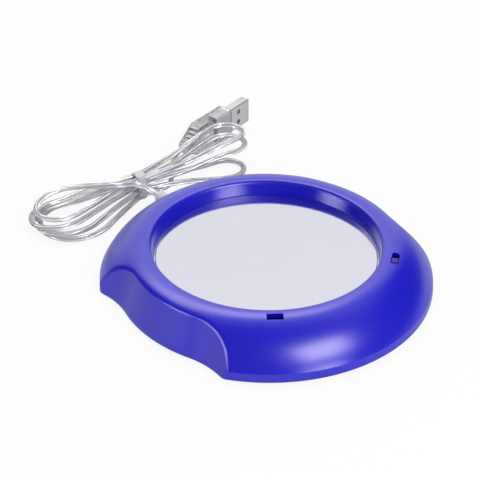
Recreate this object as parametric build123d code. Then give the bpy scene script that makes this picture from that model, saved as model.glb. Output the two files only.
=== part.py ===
"""Round desk mug warmer on a thin low-voltage lead, as an assembly of separate pieces.

A domed plastic ring stands on four rubber feet and holds a polished round heating plate
in a shallow well. Two finger scoops at the sides let a hand lift it. A slide switch and
an indicator sit in the front of the ring. The lead leaves at the back, is tied up in a
hank there and ends in a flat rectangular plug.

Units are millimetres. The origin is on the table under the middle of the plate, +Z is up,
the lead leaves towards +Y and the scoops face +X and -X.
"""
import math
import os

from build123d import *

# Housing: dome profile
ring_width = 21.7
shell_height = 17.0
foot_lift = 1.2
lip_height = 3.6
lip_groove = 0.25
wall = 1.9

# Housing: the well that the mug stands in
well_radius = 43.5
well_depth = 5.9
well_flare = 1.0
well_wall = 1.5
rim_round = 1.4

# Housing: finger scoops in the two sides
scoop_depth = 6.2
scoop_half_angle = 18.0
scoop_blend_radius = 33.0
scoop_blend_turn = 68.0
scoop_lean = 20.0
scoop_edge_round = 0.8

# Base cover, its screws and the feet under it
cover_thickness = 2.0
cover_gap = 0.2
cover_screw_inset = 7.7
cover_screw_angles = (58.0, 122.0, 216.0, 324.0)
cover_screw_length = 6.0
foot_radius = 5.0
foot_recess = 0.8
foot_inset = 15.2
foot_angles = (45.0, 135.0, 225.0, 315.0)

# Self-tapping screws, all of one size
screw_radius = 1.1
screw_head_radius = 2.2
screw_head_height = 1.0
screw_fit = 0.05
boss_wall = 1.5

# Heating plate and what presses on it from below
plate_gap = 0.3
plate_step = 0.5
flange_thickness = 1.0
flange_overlap = 2.1
heater_inset = 7.5
heater_thickness = 0.5
pad_inset = 2.5
clamp_inset = 1.5
clamp_thickness = 0.8
clamp_screw_offset = 5.5
clamp_screw_angles = (45.0, 135.0, 205.0, 335.0)
clamp_screw_length = 4.5
clamp_ear_radius = 3.2
lead_notch_width = 8.0
lead_notch_depth = 12.0

# Control board under the front of the ring
board_offset = 6.8
board_width = 7.4
board_thickness = 1.2
board_start_angle = 224.0
board_sweep = 84.0
board_screw_angles = (248.0, 284.0)
board_screw_length = 3.4

# Slide switch
switch_offset = 6.4
switch_angle = 302.7
slot_length = 7.5
slot_width = 3.0
switch_travel = 3.2
switch_length = 8.6
switch_depth = 4.0
switch_height = 3.4
switch_headroom = 1.6
switch_skin = 0.4
switch_base_thickness = 1.0
knob_length = 2.9
knob_side_gap = 0.3
knob_round = 0.3
stem_length = 2.0
stem_width = 1.5
slider_length = 3.6
slider_height = 1.2
slide_gap = 0.3
pin_size = 0.6
pin_pitch = 2.5
pin_length = 2.2
pin_gap = 0.1

# Indicator lamp behind its window
window_offset = 5.5
window_angle = 229.5
window_length = 6.0
window_width = 3.0
led_radius = 1.5
led_flange_radius = 1.9
led_flange_height = 0.9
led_height = 4.0
led_lead_size = 0.5
led_lead_pitch = 2.54
resistor_size = (3.2, 1.6, 0.6)
resistor_angle = 262.0

# Wires inside the housing
wire_diameter = 1.2
wire_spacing = 2.2
wire_space = 3.3
supply_angle = 292.0
heater_wire_drop = 2.2
heater_wire_bend = 0.9
wire_bend = 3.0

# Lead, gland and plug
cord_diameter = 2.4
cord_arc_share = 0.45
cord_plug_run = 4.8
cord_hank_run = 6.0
cord_tie_run = 4.6
gland_rise = 7.8
gland_radius = 2.6
gland_tip_radius = 1.7
gland_flange_radius = 3.8
gland_flange_thickness = 1.2
gland_seat_inset = 10.2
gland_reach = 0.8
gland_tip_length = 1.1
gland_seat_radius = 4.8
plug_rear = (36.2, 92.2)
plug_turn = 11.5
plug_width = 15.5
plug_thickness = 8.0
plug_length = 33.0
plug_taper_length = 11.0
plug_tail_radius = 2.6
plug_round = 1.6
connector_width = 12.0
connector_thickness = 4.5
connector_length = 16.0
connector_skin = 0.35
connector_window = 2.2
connector_window_reach = 8.5
connector_window_offset = 2.6
tongue_thickness = 1.8
tongue_gap = 0.1
tongue_recess = 0.6
contact_width = 1.0
contact_thickness = 0.2
contact_pitches = (-3.5, -1.0, 1.0, 3.5)
contact_length = 9.0

# Hank: loops one above the other, drawn in at the tie
hank_centre = (2.0, 81.5)
hank_turn = -9.0
hank_levels = 4
hank_gap = 0.45
hank_sides = 8
waist_gap = 0.5
left_shoulder = 29.0
left_reach = 40.0
left_reach_step = 2.6
left_half_width = 9.0
left_width_step = 2.4
right_shoulder = 30.0
right_reach = 51.0
right_reach_step = 2.2
right_half_width = 12.5
right_width_step = -2.0
hank_end_reach = 8.0
tie_width = 4.4
tie_thickness = 0.6
tie_gap = 0.3

# Heights and radii that follow from the sizes above
body_radius = well_radius + ring_width
crown_radius = well_radius + well_flare + rim_round
scoop_core_radius = body_radius - scoop_depth
cover_screw_circle = body_radius - cover_screw_inset
foot_circle = body_radius - foot_inset
heater_radius = well_radius - heater_inset
pad_radius = well_radius - pad_inset
clamp_radius = well_radius - clamp_inset
clamp_screw_circle = well_radius + clamp_screw_offset
lead_notch_start = clamp_radius - lead_notch_depth
board_radius = well_radius + board_offset
switch_radius = well_radius + switch_offset
window_radius = well_radius + window_offset
gland_seat_y = body_radius - gland_seat_inset
gland_tip_y = body_radius + gland_reach
base_z = foot_lift
crown_z = base_z + shell_height
lip_z = base_z + lip_height
plate_top_z = crown_z - well_depth
ledge_z = plate_top_z - plate_step
plate_bottom_z = ledge_z - flange_thickness
heater_bottom_z = plate_bottom_z - heater_thickness
cover_top_z = base_z + cover_thickness
clamp_bottom_z = cover_top_z + wire_space
pad_bottom_z = clamp_bottom_z + clamp_thickness
board_top_z = crown_z - wall - switch_headroom - switch_height
board_bottom_z = board_top_z - board_thickness
gland_height = base_z + gland_rise
cord_radius = cord_diameter / 2
hank_step = cord_diameter + hank_gap
hank_floor = tie_thickness + tie_gap
waist_half_width = (cord_diameter + waist_gap) / 2
boss_radius = screw_radius + boss_wall
scoop_wall_inset = wall / math.cos(math.radians(scoop_lean))
margin = 1.0


def at(radius, angle, height=0.0):
    """A point given by its distance from the centre line, its angle and its height."""
    turn = math.radians(angle)
    return Vector(radius * math.cos(turn), radius * math.sin(turn), height)


def seat(radius, angle, height):
    """A place on the ring whose X axis points outwards and whose Y axis runs along the ring."""
    return Pos(at(radius, angle, height)) * Rot(0, 0, angle)


def post(radius, low, high):
    """An upright round post between two heights."""
    return Pos(0, 0, low) * Cylinder(radius, high - low, align=(Align.CENTER, Align.CENTER, Align.MIN))


def block(length, width, low, high):
    """An upright block between two heights, length along X."""
    return Pos(0, 0, low) * Box(length, width, high - low, align=(Align.CENTER, Align.CENTER, Align.MIN))


def revolved(*edges):
    """The solid that a closed half section, drawn in the XZ plane, sweeps about the Z axis."""
    return revolve(Plane.XZ * make_face(list(edges)), axis=Axis.Z)


def dome_curve(inset):
    """The dome's section from the crown to the foot as one arc, moved inwards by inset."""
    return TangentArc((crown_radius, crown_z - inset), (body_radius - inset, base_z), tangent=(1, 0))


def dome_radius(inset, height):
    """Radius of the dome's face, moved inwards by inset, at a height."""
    arc_radius = dome_curve(inset).radius
    rise = height - (crown_z - inset - arc_radius)
    return crown_radius + math.sqrt(arc_radius**2 - rise**2)


def filled_dome():
    """The dome with its well, still solid below."""
    dome = dome_curve(0)
    well_corner = (well_radius + well_flare, crown_z)
    rim = FilletPolyline((crown_radius, crown_z), well_corner, (well_radius, ledge_z), radius=rim_round)
    foot_line = Polyline(dome @ 1, (well_radius, base_z), rim @ 1)
    return revolved(dome, rim, foot_line)


def lip_line():
    """The fine groove round the dome that marks off its lip."""
    face = dome_radius(0, lip_z)
    inner, outer = face - lip_groove, face + lip_groove
    section = [(inner, lip_z), (outer, lip_z - 2 * lip_groove), (outer, lip_z + 2 * lip_groove)]
    return revolved(Polyline(*section, close=True))


def filled_cavity():
    """The space inside the dome, without the scoops, open downwards and under the well."""
    dome = dome_curve(wall)
    wall_foot = well_radius + well_wall
    wall_top = (wall_foot + well_flare, crown_z - wall)
    low = base_z - margin
    outside = Polyline(dome @ 1, (body_radius - wall, low), (0, low), (0, ledge_z), (wall_foot, ledge_z))
    inside = Polyline((wall_foot, ledge_z), wall_top, dome @ 0)
    return revolved(dome, outside, inside)


def scoop_outline(inset):
    """Plan of the space outside one scoop's wall, that wall moved inwards by inset."""
    core = scoop_core_radius - inset
    blend = scoop_blend_radius + inset
    blend_centre = at(core + blend, scoop_half_angle)
    blend_start = 180.0 + scoop_half_angle
    hollow = CenterArc((0, 0), core, -scoop_half_angle, 2 * scoop_half_angle)
    upper = CenterArc(blend_centre, blend, blend_start, -scoop_blend_turn)
    lower = mirror(upper, about=Plane.XZ)
    top = upper @ 1
    far = blend_centre.X + scoop_blend_radius
    outside = Polyline(top, (far, top.Y), (far, -top.Y), (top.X, -top.Y))
    return make_face([hollow, upper, outside, lower])


def scoops(inset):
    """Both scoops as cutters whose walls lean inwards towards the top."""
    lean = math.tan(math.radians(scoop_lean))
    outline = Pos(0, 0, base_z - margin) * scoop_outline(inset - margin * lean)
    one = extrude(outline, amount=shell_height + 2 * margin, taper=-scoop_lean)
    return one + Rot(0, 0, 180) * one


def ring_boss(radius, angle, low):
    """A post that hangs from the dome, for a screw from below, cut to the housing later."""
    return seat(radius, angle, 0) * post(boss_radius, low, crown_z)


def screw_hole(radius, angle, low, depth):
    """The hole that a screw cuts into a post, starting at the post's foot."""
    return seat(radius, angle, 0) * post(screw_radius + screw_fit, low - margin, low + depth)


def rounded_slot(length, width, low, high):
    """An upright slot along Y with a round far end and a square near end."""
    square = Pos(0, -width / 4) * Rectangle(width, length - width / 2)
    round_end = Pos(0, length / 2 - width / 2) * Circle(width / 2)
    return extrude(Pos(0, 0, low) * (square + round_end), amount=high - low)


def screw(length):
    """A screw with its head at the origin's plane and its shank upwards."""
    return post(screw_head_radius, -screw_head_height, 0) + post(screw_radius, 0, length)


def top_shell():
    """Domed ring with the well, the scoops, the screw posts and the openings for switch and lamp."""
    dome = filled_dome() - scoops(0)
    scoop_edges = dome.edges().filter_by(lambda edge: edge.bounding_box().max.Z > base_z + margin)
    for plain in (GeomType.CIRCLE, GeomType.LINE):
        scoop_edges = scoop_edges.filter_by(plain, reverse=True)
    dome = fillet(scoop_edges, scoop_edge_round) - lip_line()
    space = filled_cavity() - scoops(scoop_wall_inset)
    posts = [ring_boss(clamp_screw_circle, angle, pad_bottom_z) for angle in clamp_screw_angles]
    posts += [ring_boss(cover_screw_circle, angle, cover_top_z) for angle in cover_screw_angles]
    posts += [ring_boss(board_radius, angle, board_top_z) for angle in board_screw_angles]
    gland_post = Pos(0, gland_seat_y, gland_height) * Rot(-90, 0, 0) * post(gland_seat_radius, 0, body_radius)
    for one_post in posts + [gland_post]:
        space -= one_post
    shell = dome - space
    for angle in clamp_screw_angles:
        shell -= screw_hole(clamp_screw_circle, angle, pad_bottom_z, clamp_screw_length)
    for angle in cover_screw_angles:
        shell -= screw_hole(cover_screw_circle, angle, cover_top_z, cover_screw_length)
    for angle in board_screw_angles:
        shell -= screw_hole(board_radius, angle, board_top_z, board_screw_length)
    over = crown_z + margin
    under = board_top_z + switch_height
    shell -= seat(switch_radius, switch_angle, 0) * rounded_slot(slot_length, slot_width, under, over)
    shell -= seat(window_radius, window_angle, 0) * block(window_width, window_length, under, over)
    gland_hole = post(gland_radius + screw_fit, -margin, body_radius)
    shell -= Pos(0, gland_seat_y, gland_height) * Rot(-90, 0, 0) * gland_hole
    return shell


def base_cover():
    """Flat floor inside the lip, with recesses for the feet and the screw heads."""
    plate = post(dome_radius(wall, cover_top_z) - cover_gap, base_z, cover_top_z)
    plate -= scoops(scoop_wall_inset + cover_gap)
    for angle in foot_angles:
        plate -= seat(foot_circle, angle, 0) * post(foot_radius, base_z - margin, base_z + foot_recess)
    head_seat_z = base_z + screw_head_height
    for angle in cover_screw_angles:
        place = seat(cover_screw_circle, angle, 0)
        plate -= place * post(screw_head_radius + screw_fit, base_z - margin, head_seat_z)
        plate -= place * post(screw_radius + screw_fit, base_z, cover_top_z + margin)
    return plate


def feet():
    """Four round rubber feet, each set in its recess."""
    foot = post(foot_radius, 0, base_z + foot_recess)
    foot = fillet(foot.edges().sort_by(Axis.Z)[0], foot_lift / 3)
    return [seat(foot_circle, angle, 0) * foot for angle in foot_angles]


def cover_screws():
    """Four screws that hold the base cover."""
    head_seat_z = base_z + screw_head_height
    grip = cover_top_z - head_seat_z
    one = screw(grip + cover_screw_length)
    return [seat(cover_screw_circle, angle, head_seat_z) * one for angle in cover_screw_angles]


def heating_plate():
    """Polished round plate whose step stands up in the well and whose flange bears on the ledge."""
    flange = post(well_radius + flange_overlap, plate_bottom_z, ledge_z)
    face = post(well_radius - plate_gap, ledge_z, plate_top_z)
    return flange + face


def heater_element():
    """Flat round heating film under the plate."""
    return post(heater_radius, heater_bottom_z, plate_bottom_z)


def lead_notch(low, high):
    """The open notch at the front edge that the heater's wires pass through."""
    reach = lead_notch_depth + margin
    return Pos(0, -lead_notch_start - reach / 2) * block(lead_notch_width, reach, low - margin, high + margin)


def insulation_pad():
    """Soft heat-proof pad that presses the film against the plate."""
    pad = post(pad_radius, pad_bottom_z, heater_bottom_z)
    return pad - lead_notch(pad_bottom_z, heater_bottom_z - margin)


def clamp_plate():
    """Thin steel disc with four ears that carries the pad."""
    disc = post(clamp_radius, clamp_bottom_z, pad_bottom_z)
    for angle in clamp_screw_angles:
        place = seat(clamp_screw_circle, angle, 0)
        ear_reach = clamp_screw_circle - clamp_radius + clamp_ear_radius
        ear = Pos(-ear_reach / 2, 0) * block(ear_reach, 2 * clamp_ear_radius, clamp_bottom_z, pad_bottom_z)
        disc += place * (ear + post(clamp_ear_radius, clamp_bottom_z, pad_bottom_z))
    for angle in clamp_screw_angles:
        disc -= screw_hole(clamp_screw_circle, angle, clamp_bottom_z, clamp_thickness + margin)
    return disc - lead_notch(clamp_bottom_z, pad_bottom_z)


def clamp_screws():
    """Four screws that draw the clamp plate up."""
    one = screw(clamp_thickness + clamp_screw_length)
    return [seat(clamp_screw_circle, angle, clamp_bottom_z) * one for angle in clamp_screw_angles]


def switch_pin_places():
    """Places of the switch's three pins along its length."""
    return [seat(switch_radius, switch_angle, 0) * Pos(0, step * pin_pitch) for step in (-1, 0, 1)]


def led_lead_places():
    """Places of the lamp's two legs."""
    return [seat(window_radius, window_angle, 0) * Pos(0, side * led_lead_pitch / 2) for side in (-1, 1)]


def control_board():
    """Curved circuit board that carries the switch and the lamp."""
    spine = CenterArc((0, 0), board_radius, board_start_angle, board_sweep)
    board = extrude(Pos(0, 0, board_bottom_z) * SlotArc(spine, board_width), amount=board_thickness)
    for angle in board_screw_angles:
        board -= screw_hole(board_radius, angle, board_bottom_z, board_thickness + margin)
    hole = pin_size + 2 * pin_gap
    for place in switch_pin_places():
        board -= place * block(hole, hole, board_bottom_z - margin, board_top_z + margin)
    hole = led_lead_size + 2 * pin_gap
    for place in led_lead_places():
        board -= place * block(hole, hole, board_bottom_z - margin, board_top_z + margin)
    return board


def board_screws():
    """Two screws that hold the board against its posts."""
    one = screw(board_thickness + board_screw_length)
    return [seat(board_radius, angle, board_bottom_z) * one for angle in board_screw_angles]


def switch_frame():
    """Folded metal case of the slide switch, open below, with a window for the stem."""
    top = board_top_z + switch_height
    case = block(switch_depth, switch_length, board_top_z, top)
    inside_width = switch_depth - 2 * switch_skin
    inside_length = switch_length - 2 * switch_skin
    case -= block(inside_width, inside_length, board_top_z - margin, top - switch_skin)
    window = stem_length + switch_travel + 2 * slide_gap
    case -= block(stem_width + 2 * slide_gap, window, top - switch_skin - margin, top + margin)
    return seat(switch_radius, switch_angle, 0) * case


def switch_base():
    """Insulating floor of the slide switch."""
    inside_width = switch_depth - 2 * switch_skin
    inside_length = switch_length - 2 * switch_skin
    floor = block(inside_width, inside_length, board_top_z, board_top_z + switch_base_thickness)
    return seat(switch_radius, switch_angle, 0) * floor


def switch_pins():
    """Three solder pins under the slide switch."""
    pin = block(pin_size, pin_size, board_top_z - pin_length, board_top_z)
    return [place * pin for place in switch_pin_places()]


def switch_slider():
    """Slider with its stem and its knob, at the end of the slot that it rests at."""
    frame_top = board_top_z + switch_height
    slider_top = frame_top - switch_skin - slide_gap
    knob_foot = frame_top + slide_gap
    knob_width = slot_width - 2 * knob_side_gap
    slider_width = switch_depth - 2 * switch_skin - 2 * slide_gap
    slider = block(slider_width, slider_length, slider_top - slider_height, slider_top)
    slider += block(stem_width, stem_length, slider_top, knob_foot)
    knob = block(knob_width, knob_length, knob_foot, crown_z)
    knob = fillet(knob.edges().group_by(Axis.Z)[-1], knob_round)
    rest = -switch_travel / 2
    return seat(switch_radius, switch_angle, 0) * Pos(0, rest) * (slider + knob)


def led_lens():
    """Small round lamp under its window, with a domed top."""
    foot = board_top_z
    body = post(led_flange_radius, foot, foot + led_flange_height)
    body += post(led_radius, foot, foot + led_height - led_radius)
    body += Pos(0, 0, foot + led_height - led_radius) * Sphere(led_radius, arc_size1=0, align=Align.NONE)
    return seat(window_radius, window_angle, 0) * body


def led_leads():
    """The lamp's two legs through the board."""
    leg = block(led_lead_size, led_lead_size, board_top_z - pin_length, board_top_z)
    return [place * leg for place in led_lead_places()]


def led_resistor():
    """Chip resistor of the lamp on the board."""
    length, width, height = resistor_size
    return seat(board_radius, resistor_angle, 0) * block(width, length, board_top_z, board_top_z + height)


def tube(path, diameter):
    """A round tube along a path."""
    start = Plane(origin=path @ 0, z_dir=path % 0)
    return sweep(start * Circle(diameter / 2), path=path)


def heater_wires():
    """Two wires from the film through the notch to the underside of the board."""
    wires = []
    low = heater_bottom_z - heater_wire_drop
    for side in (-1, 1):
        x = side * wire_spacing / 2
        inner = -lead_notch_start - wire_diameter
        points = [(x, inner, heater_bottom_z), (x, inner, low), (x, -board_radius, low),
                  (x, -board_radius, board_bottom_z)]
        path = FilletPolyline(*points, radius=heater_wire_bend)
        wires.append(tube(path, wire_diameter))
    return wires


def supply_wires():
    """Two wires from the gland, under the clamp plate, to the board."""
    wires = []
    low = cover_top_z + wire_space / 2
    foot = at(board_radius, supply_angle)
    inside_y = gland_seat_y - gland_flange_thickness
    for side in (-1, 1):
        x = side * wire_spacing / 2
        points = [(x, inside_y, gland_height), (x, inside_y - 2 * wire_bend, gland_height),
                  (x, inside_y - 3 * wire_bend, low), (foot.X + x, foot.Y + wire_bend, low),
                  (foot.X + x, foot.Y, low + wire_bend / 2), (foot.X + x, foot.Y, board_bottom_z)]
        path = FilletPolyline(*points, radius=wire_diameter)
        wires.append(tube(path, wire_diameter))
    return wires


def cord_gland():
    """Moulded sleeve that holds the lead in the back of the housing."""
    flange_y = gland_seat_y - gland_flange_thickness
    neck_y = gland_tip_y - gland_tip_length
    edges = Polyline((0, flange_y), (gland_flange_radius, flange_y), (gland_flange_radius, gland_seat_y),
                     (gland_radius, gland_seat_y), (gland_radius, neck_y), (gland_tip_radius, gland_tip_y),
                     (0, gland_tip_y), close=True)
    sleeve = revolve(make_face(edges), axis=Axis.Y)
    return Pos(0, 0, gland_height) * sleeve


def hank_place(along, across, height):
    """A point of the hank: along its length, across it and up."""
    turn = math.radians(hank_turn)
    x = hank_centre[0] + along * math.cos(turn) - across * math.sin(turn)
    y = hank_centre[1] + along * math.sin(turn) + across * math.cos(turn)
    return Vector(x, y, height)


def hank_way(along, across):
    """A level direction in the hank's own axes."""
    return (hank_place(along, across, 0) - hank_place(0, 0, 0)).normalized()


def level_height(level):
    """Height of the cord's middle in one level of the hank, counted from 0 at the table."""
    return hank_floor + cord_radius + level * hank_step


def hank_stations():
    """Points and directions that the hank's cord passes, from the top level down.

    Every turn goes round the left end, steps down one level on its way to the tie along the
    front, and goes round the right end on the lower level. Turns differ in size by level.
    """
    left, right, back, front = (hank_way(-1, 0), hank_way(1, 0), hank_way(0, 1), hank_way(0, -1))
    stations = []
    for level in range(hank_levels, 0, -1):
        upper, lower = level_height(level), level_height(level - 1)
        left_half = left_half_width + left_width_step * (hank_levels - level)
        left_tip = left_reach + left_reach_step * (hank_levels - level)
        stations.append((hank_place(-left_shoulder, left_half, upper), left))
        stations.append((hank_place(-left_tip, 0, upper), front))
        stations.append((hank_place(-left_shoulder, -left_half, upper), right))
        stations.append((hank_place(0, -waist_half_width, lower), right))
        if level > 1:
            right_half = right_half_width + right_width_step * (hank_levels - level)
            right_tip = right_reach + right_reach_step * (hank_levels - level)
            stations.append((hank_place(right_shoulder, -right_half, lower), right))
            stations.append((hank_place(right_tip, 0, lower), back))
            stations.append((hank_place(right_shoulder, right_half, lower), left))
            stations.append((hank_place(0, waist_half_width, lower), left))
    return stations


def biarc(start, start_way, end, end_way):
    """Two tangent arcs that leave start along start_way and reach end along end_way."""
    chord = end - start
    along = chord.dot(start_way + end_way)
    bend = start_way.dot(end_way) - 1
    if abs(bend) < 1e-9:
        reach = chord.dot(chord) / (2 * along)
    else:
        reach = (along - math.sqrt(along**2 - 2 * bend * chord.dot(chord))) / (2 * bend)
    first, second = start + start_way * reach, end - end_way * reach
    middle = (first + second) * 0.5
    way = (second - first).normalized()
    return [TangentArc(start, middle, tangent=start_way), TangentArc(middle, end, tangent=way)]


def hank_path():
    """The hank's cord as arcs, with a straight stretch of one diameter at both ends."""
    stations = hank_stations()
    start, start_way = stations[0]
    end, end_way = stations[-1]
    edges = [Line(start - start_way * cord_diameter, start)]
    for (here, way), (there, next_way) in zip(stations, stations[1:]):
        edges += biarc(here, way, there, next_way)
    edges.append(Line(end, end + end_way * hank_end_reach))
    return edges


def least_gap(edges, samples=8):
    """Least distance between the surfaces of two stretches of a cord that lie apart along it."""
    points = []
    run = 0.0
    for edge in edges:
        for step in range(samples):
            points.append((run + edge.length * step / samples, edge @ (step / samples)))
        run += edge.length
    near = 4 * cord_diameter
    gaps = [(p - q).length for i, (s, p) in enumerate(points) for t, q in points[:i] if s - t > near]
    return min(gaps) - cord_diameter


def cord_hank():
    """The tied loops of the lead as one unbroken faceted tube."""
    edges = hank_path()
    path = Wire(edges)
    start = Plane(origin=path @ 0, z_dir=path % 0)
    section = RegularPolygon(cord_radius, hank_sides)
    hank = sweep(start * section, path=path)
    radii = [edge.radius for edge in edges if edge.geom_type == GeomType.CIRCLE]
    print(f"hank length {path.length:.1f} tightest {min(radii):.2f} least gap {least_gap(edges):.2f}"
          f" volume ratio {hank.volume / (section.area * path.length):.4f}")
    return hank


def route_path(points):
    """Straight runs joined by arcs as large as each pair of runs allows."""
    points = [Vector(*point) for point in points]
    radii = []
    for before, here, after in zip(points, points[1:], points[2:]):
        run_in, run_out = here - before, after - here
        half_turn = math.radians(run_in.get_angle(run_out) / 2)
        radii.append(cord_arc_share * min(run_in.length, run_out.length) / math.tan(half_turn))
    path = FilletPolyline(*points, radius=radii)
    print("route length", round(path.length, 1), "radii", [round(radius, 1) for radius in radii])
    return path


def lead_points():
    """Route of the lead from the gland over the tied strands to the top of the hank."""
    top, way = hank_stations()[0]
    end = top - way * cord_diameter
    return [(0, gland_tip_y, gland_height), (0.0, 70.4, gland_height), (-0.9, 74.8, 10.8), (-2.6, 79.2, 13.3),
            (-5.2, 83.6, 15.0), (-8.6, 87.6, 15.3), (-12.6, 91.0, 14.6), tuple(end - way * cord_hank_run),
            tuple(end)]


def tail_points():
    """Route of the lead's last stretch from the tie, under the right loops, to the plug."""
    end, way = hank_stations()[-1]
    start = end + way * hank_end_reach
    rear = Vector(plug_rear[0], plug_rear[1], plug_width / 2)
    axis = at(1, plug_turn)
    low = level_height(0)
    return [tuple(start), tuple(start + way * cord_tie_run), tuple(hank_place(16.2, 0.8, low)),
            tuple(hank_place(18.6, 4.2, low)), tuple(hank_place(20.8, 8.0, low)),
            tuple(hank_place(23.6, 11.6, low + 2.2)), tuple(rear - axis * cord_plug_run), tuple(rear)]


def cord_lead():
    """First free stretch of the lead."""
    return tube(route_path(lead_points()), cord_diameter)


def cord_tail():
    """Last free stretch of the lead."""
    return tube(route_path(tail_points()), cord_diameter)


def cord_tie():
    """Clear band round the strands at the waist."""
    half_width = waist_half_width + cord_radius + tie_gap
    low = hank_floor - tie_gap
    high = level_height(hank_levels - 1) + cord_radius + tie_gap
    inner_round = cord_radius
    middle = (low + high) / 2
    inner = RectangleRounded(2 * half_width, high - low, inner_round)
    outer = RectangleRounded(2 * (half_width + tie_thickness), high - low + 2 * tie_thickness,
                             inner_round + tie_thickness)
    band = extrude(outer - inner, amount=tie_width / 2, both=True)
    place = Plane(origin=hank_place(0, 0, middle), x_dir=hank_way(0, 1), z_dir=hank_way(1, 0))
    return place * band


def plug_frame():
    """The plug's own axes: X up across its width, Z along it towards the mouth."""
    axis = at(1, plug_turn)
    return Plane(origin=(plug_rear[0], plug_rear[1], plug_width / 2), x_dir=(0, 0, 1), z_dir=axis)


def plug_overmould():
    """Clear moulded grip of the plug, tapered towards the lead."""
    front = Pos(0, 0, plug_taper_length) * RectangleRounded(plug_width, plug_thickness, plug_round)
    rear = RectangleRounded(2 * plug_tail_radius, 2 * plug_tail_radius, plug_round)
    grip = extrude(front, amount=plug_length - plug_taper_length)
    taper = loft([rear, front])
    return plug_frame() * (grip + taper)


def plug_shell():
    """Folded metal mouth of the plug with its latch windows."""
    mouth = plug_length + connector_length
    skin = Rectangle(connector_width, connector_thickness)
    skin -= Rectangle(connector_width - 2 * connector_skin, connector_thickness - 2 * connector_skin)
    shell = extrude(Pos(0, 0, plug_length) * skin, amount=connector_length)
    latch_z = mouth - connector_window_reach
    for side in (-1, 1):
        cutter = Box(connector_window, 2 * connector_thickness, connector_window)
        shell -= Pos(side * connector_window_offset, 0, latch_z) * cutter
    return plug_frame() * shell


def tongue_y():
    """Middle of the plug's tongue across the thickness of its mouth."""
    return -connector_thickness / 2 + connector_skin + tongue_gap + tongue_thickness / 2


def plug_tongue():
    """Insulating tongue inside the mouth."""
    width = connector_width - 2 * connector_skin - 2 * tongue_gap
    length = connector_length - tongue_recess
    tongue = Box(width, tongue_thickness, length, align=(Align.CENTER, Align.CENTER, Align.MIN))
    return plug_frame() * Pos(0, tongue_y(), plug_length) * tongue


def plug_contacts():
    """Four contact strips on the tongue."""
    face_y = tongue_y() + tongue_thickness / 2
    strip = Box(contact_width, contact_thickness, contact_length, align=(Align.CENTER, Align.MIN, Align.MAX))
    tip = plug_length + connector_length - tongue_recess - contact_width
    return [plug_frame() * Pos(pitch, face_y, tip) * strip for pitch in contact_pitches]


pieces = [top_shell, base_cover, feet, cover_screws, heating_plate, heater_element, insulation_pad,
          clamp_plate, clamp_screws, control_board, board_screws, switch_frame, switch_base, switch_pins,
          switch_slider, led_lens, led_leads, led_resistor, heater_wires, supply_wires, cord_gland,
          cord_lead, cord_hank, cord_tie, cord_tail, plug_overmould, plug_shell, plug_tongue, plug_contacts]

os.makedirs("parts", exist_ok=True)
for piece in pieces:
    made = piece()
    solids = Compound(children=made) if isinstance(made, list) else made
    export_step(solids, os.path.join("parts", piece.__name__ + ".step"))
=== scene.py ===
"""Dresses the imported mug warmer: a domed ring with a heating plate, its controls and its tied lead.

Every sub-assembly is a class with its sizes in millimetres. Its build method makes meshes from numpy
grids in the shared frame, and each finish makes one procedural material.
"""
import logging
import math
from dataclasses import dataclass, field
from enum import Enum
from functools import cache

import bmesh
import bpy
import numpy as np
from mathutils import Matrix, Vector

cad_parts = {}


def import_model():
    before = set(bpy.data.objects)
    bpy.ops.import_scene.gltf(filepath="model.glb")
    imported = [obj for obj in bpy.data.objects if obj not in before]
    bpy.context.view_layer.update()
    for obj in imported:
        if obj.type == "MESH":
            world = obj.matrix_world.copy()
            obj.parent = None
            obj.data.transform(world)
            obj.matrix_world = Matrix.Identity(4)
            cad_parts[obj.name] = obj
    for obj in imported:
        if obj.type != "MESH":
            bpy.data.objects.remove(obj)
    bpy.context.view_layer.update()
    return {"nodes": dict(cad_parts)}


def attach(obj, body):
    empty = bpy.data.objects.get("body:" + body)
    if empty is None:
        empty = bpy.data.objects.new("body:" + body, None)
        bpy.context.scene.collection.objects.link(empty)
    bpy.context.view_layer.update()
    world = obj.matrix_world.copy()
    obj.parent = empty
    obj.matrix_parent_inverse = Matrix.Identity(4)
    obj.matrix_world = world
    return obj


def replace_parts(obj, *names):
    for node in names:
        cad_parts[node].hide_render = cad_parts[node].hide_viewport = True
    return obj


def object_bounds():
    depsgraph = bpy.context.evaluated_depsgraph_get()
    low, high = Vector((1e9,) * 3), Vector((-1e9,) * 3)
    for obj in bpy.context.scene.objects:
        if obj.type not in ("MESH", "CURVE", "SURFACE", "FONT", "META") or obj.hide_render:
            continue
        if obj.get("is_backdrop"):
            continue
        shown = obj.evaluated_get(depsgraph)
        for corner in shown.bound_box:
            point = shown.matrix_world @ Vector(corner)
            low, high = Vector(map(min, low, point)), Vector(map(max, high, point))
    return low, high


MM = 0.001
# Edges sharper than this, in degrees, stay crisp
SHARP_ANGLE = 40.0
# How strongly each finer layer of a noise counts
NOISE_ROUGHNESS = 0.55
# Finer layers in the noise of a grain
GRAIN_DETAIL = 2.0
# Height of the ledge over the heating plate's flange
LEDGE_Z = 11.8
# Stands for a radius where there is no wall
NO_WALL = 1e3
# Keeps a division away from zero
TINY = 1e-9
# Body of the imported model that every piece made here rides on
BODY = "housing"
LOG = logging.getLogger("mug_warmer")
Colour = tuple[float, float, float]
Point = tuple[float, float, float]
Pair = tuple[float, float]


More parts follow.
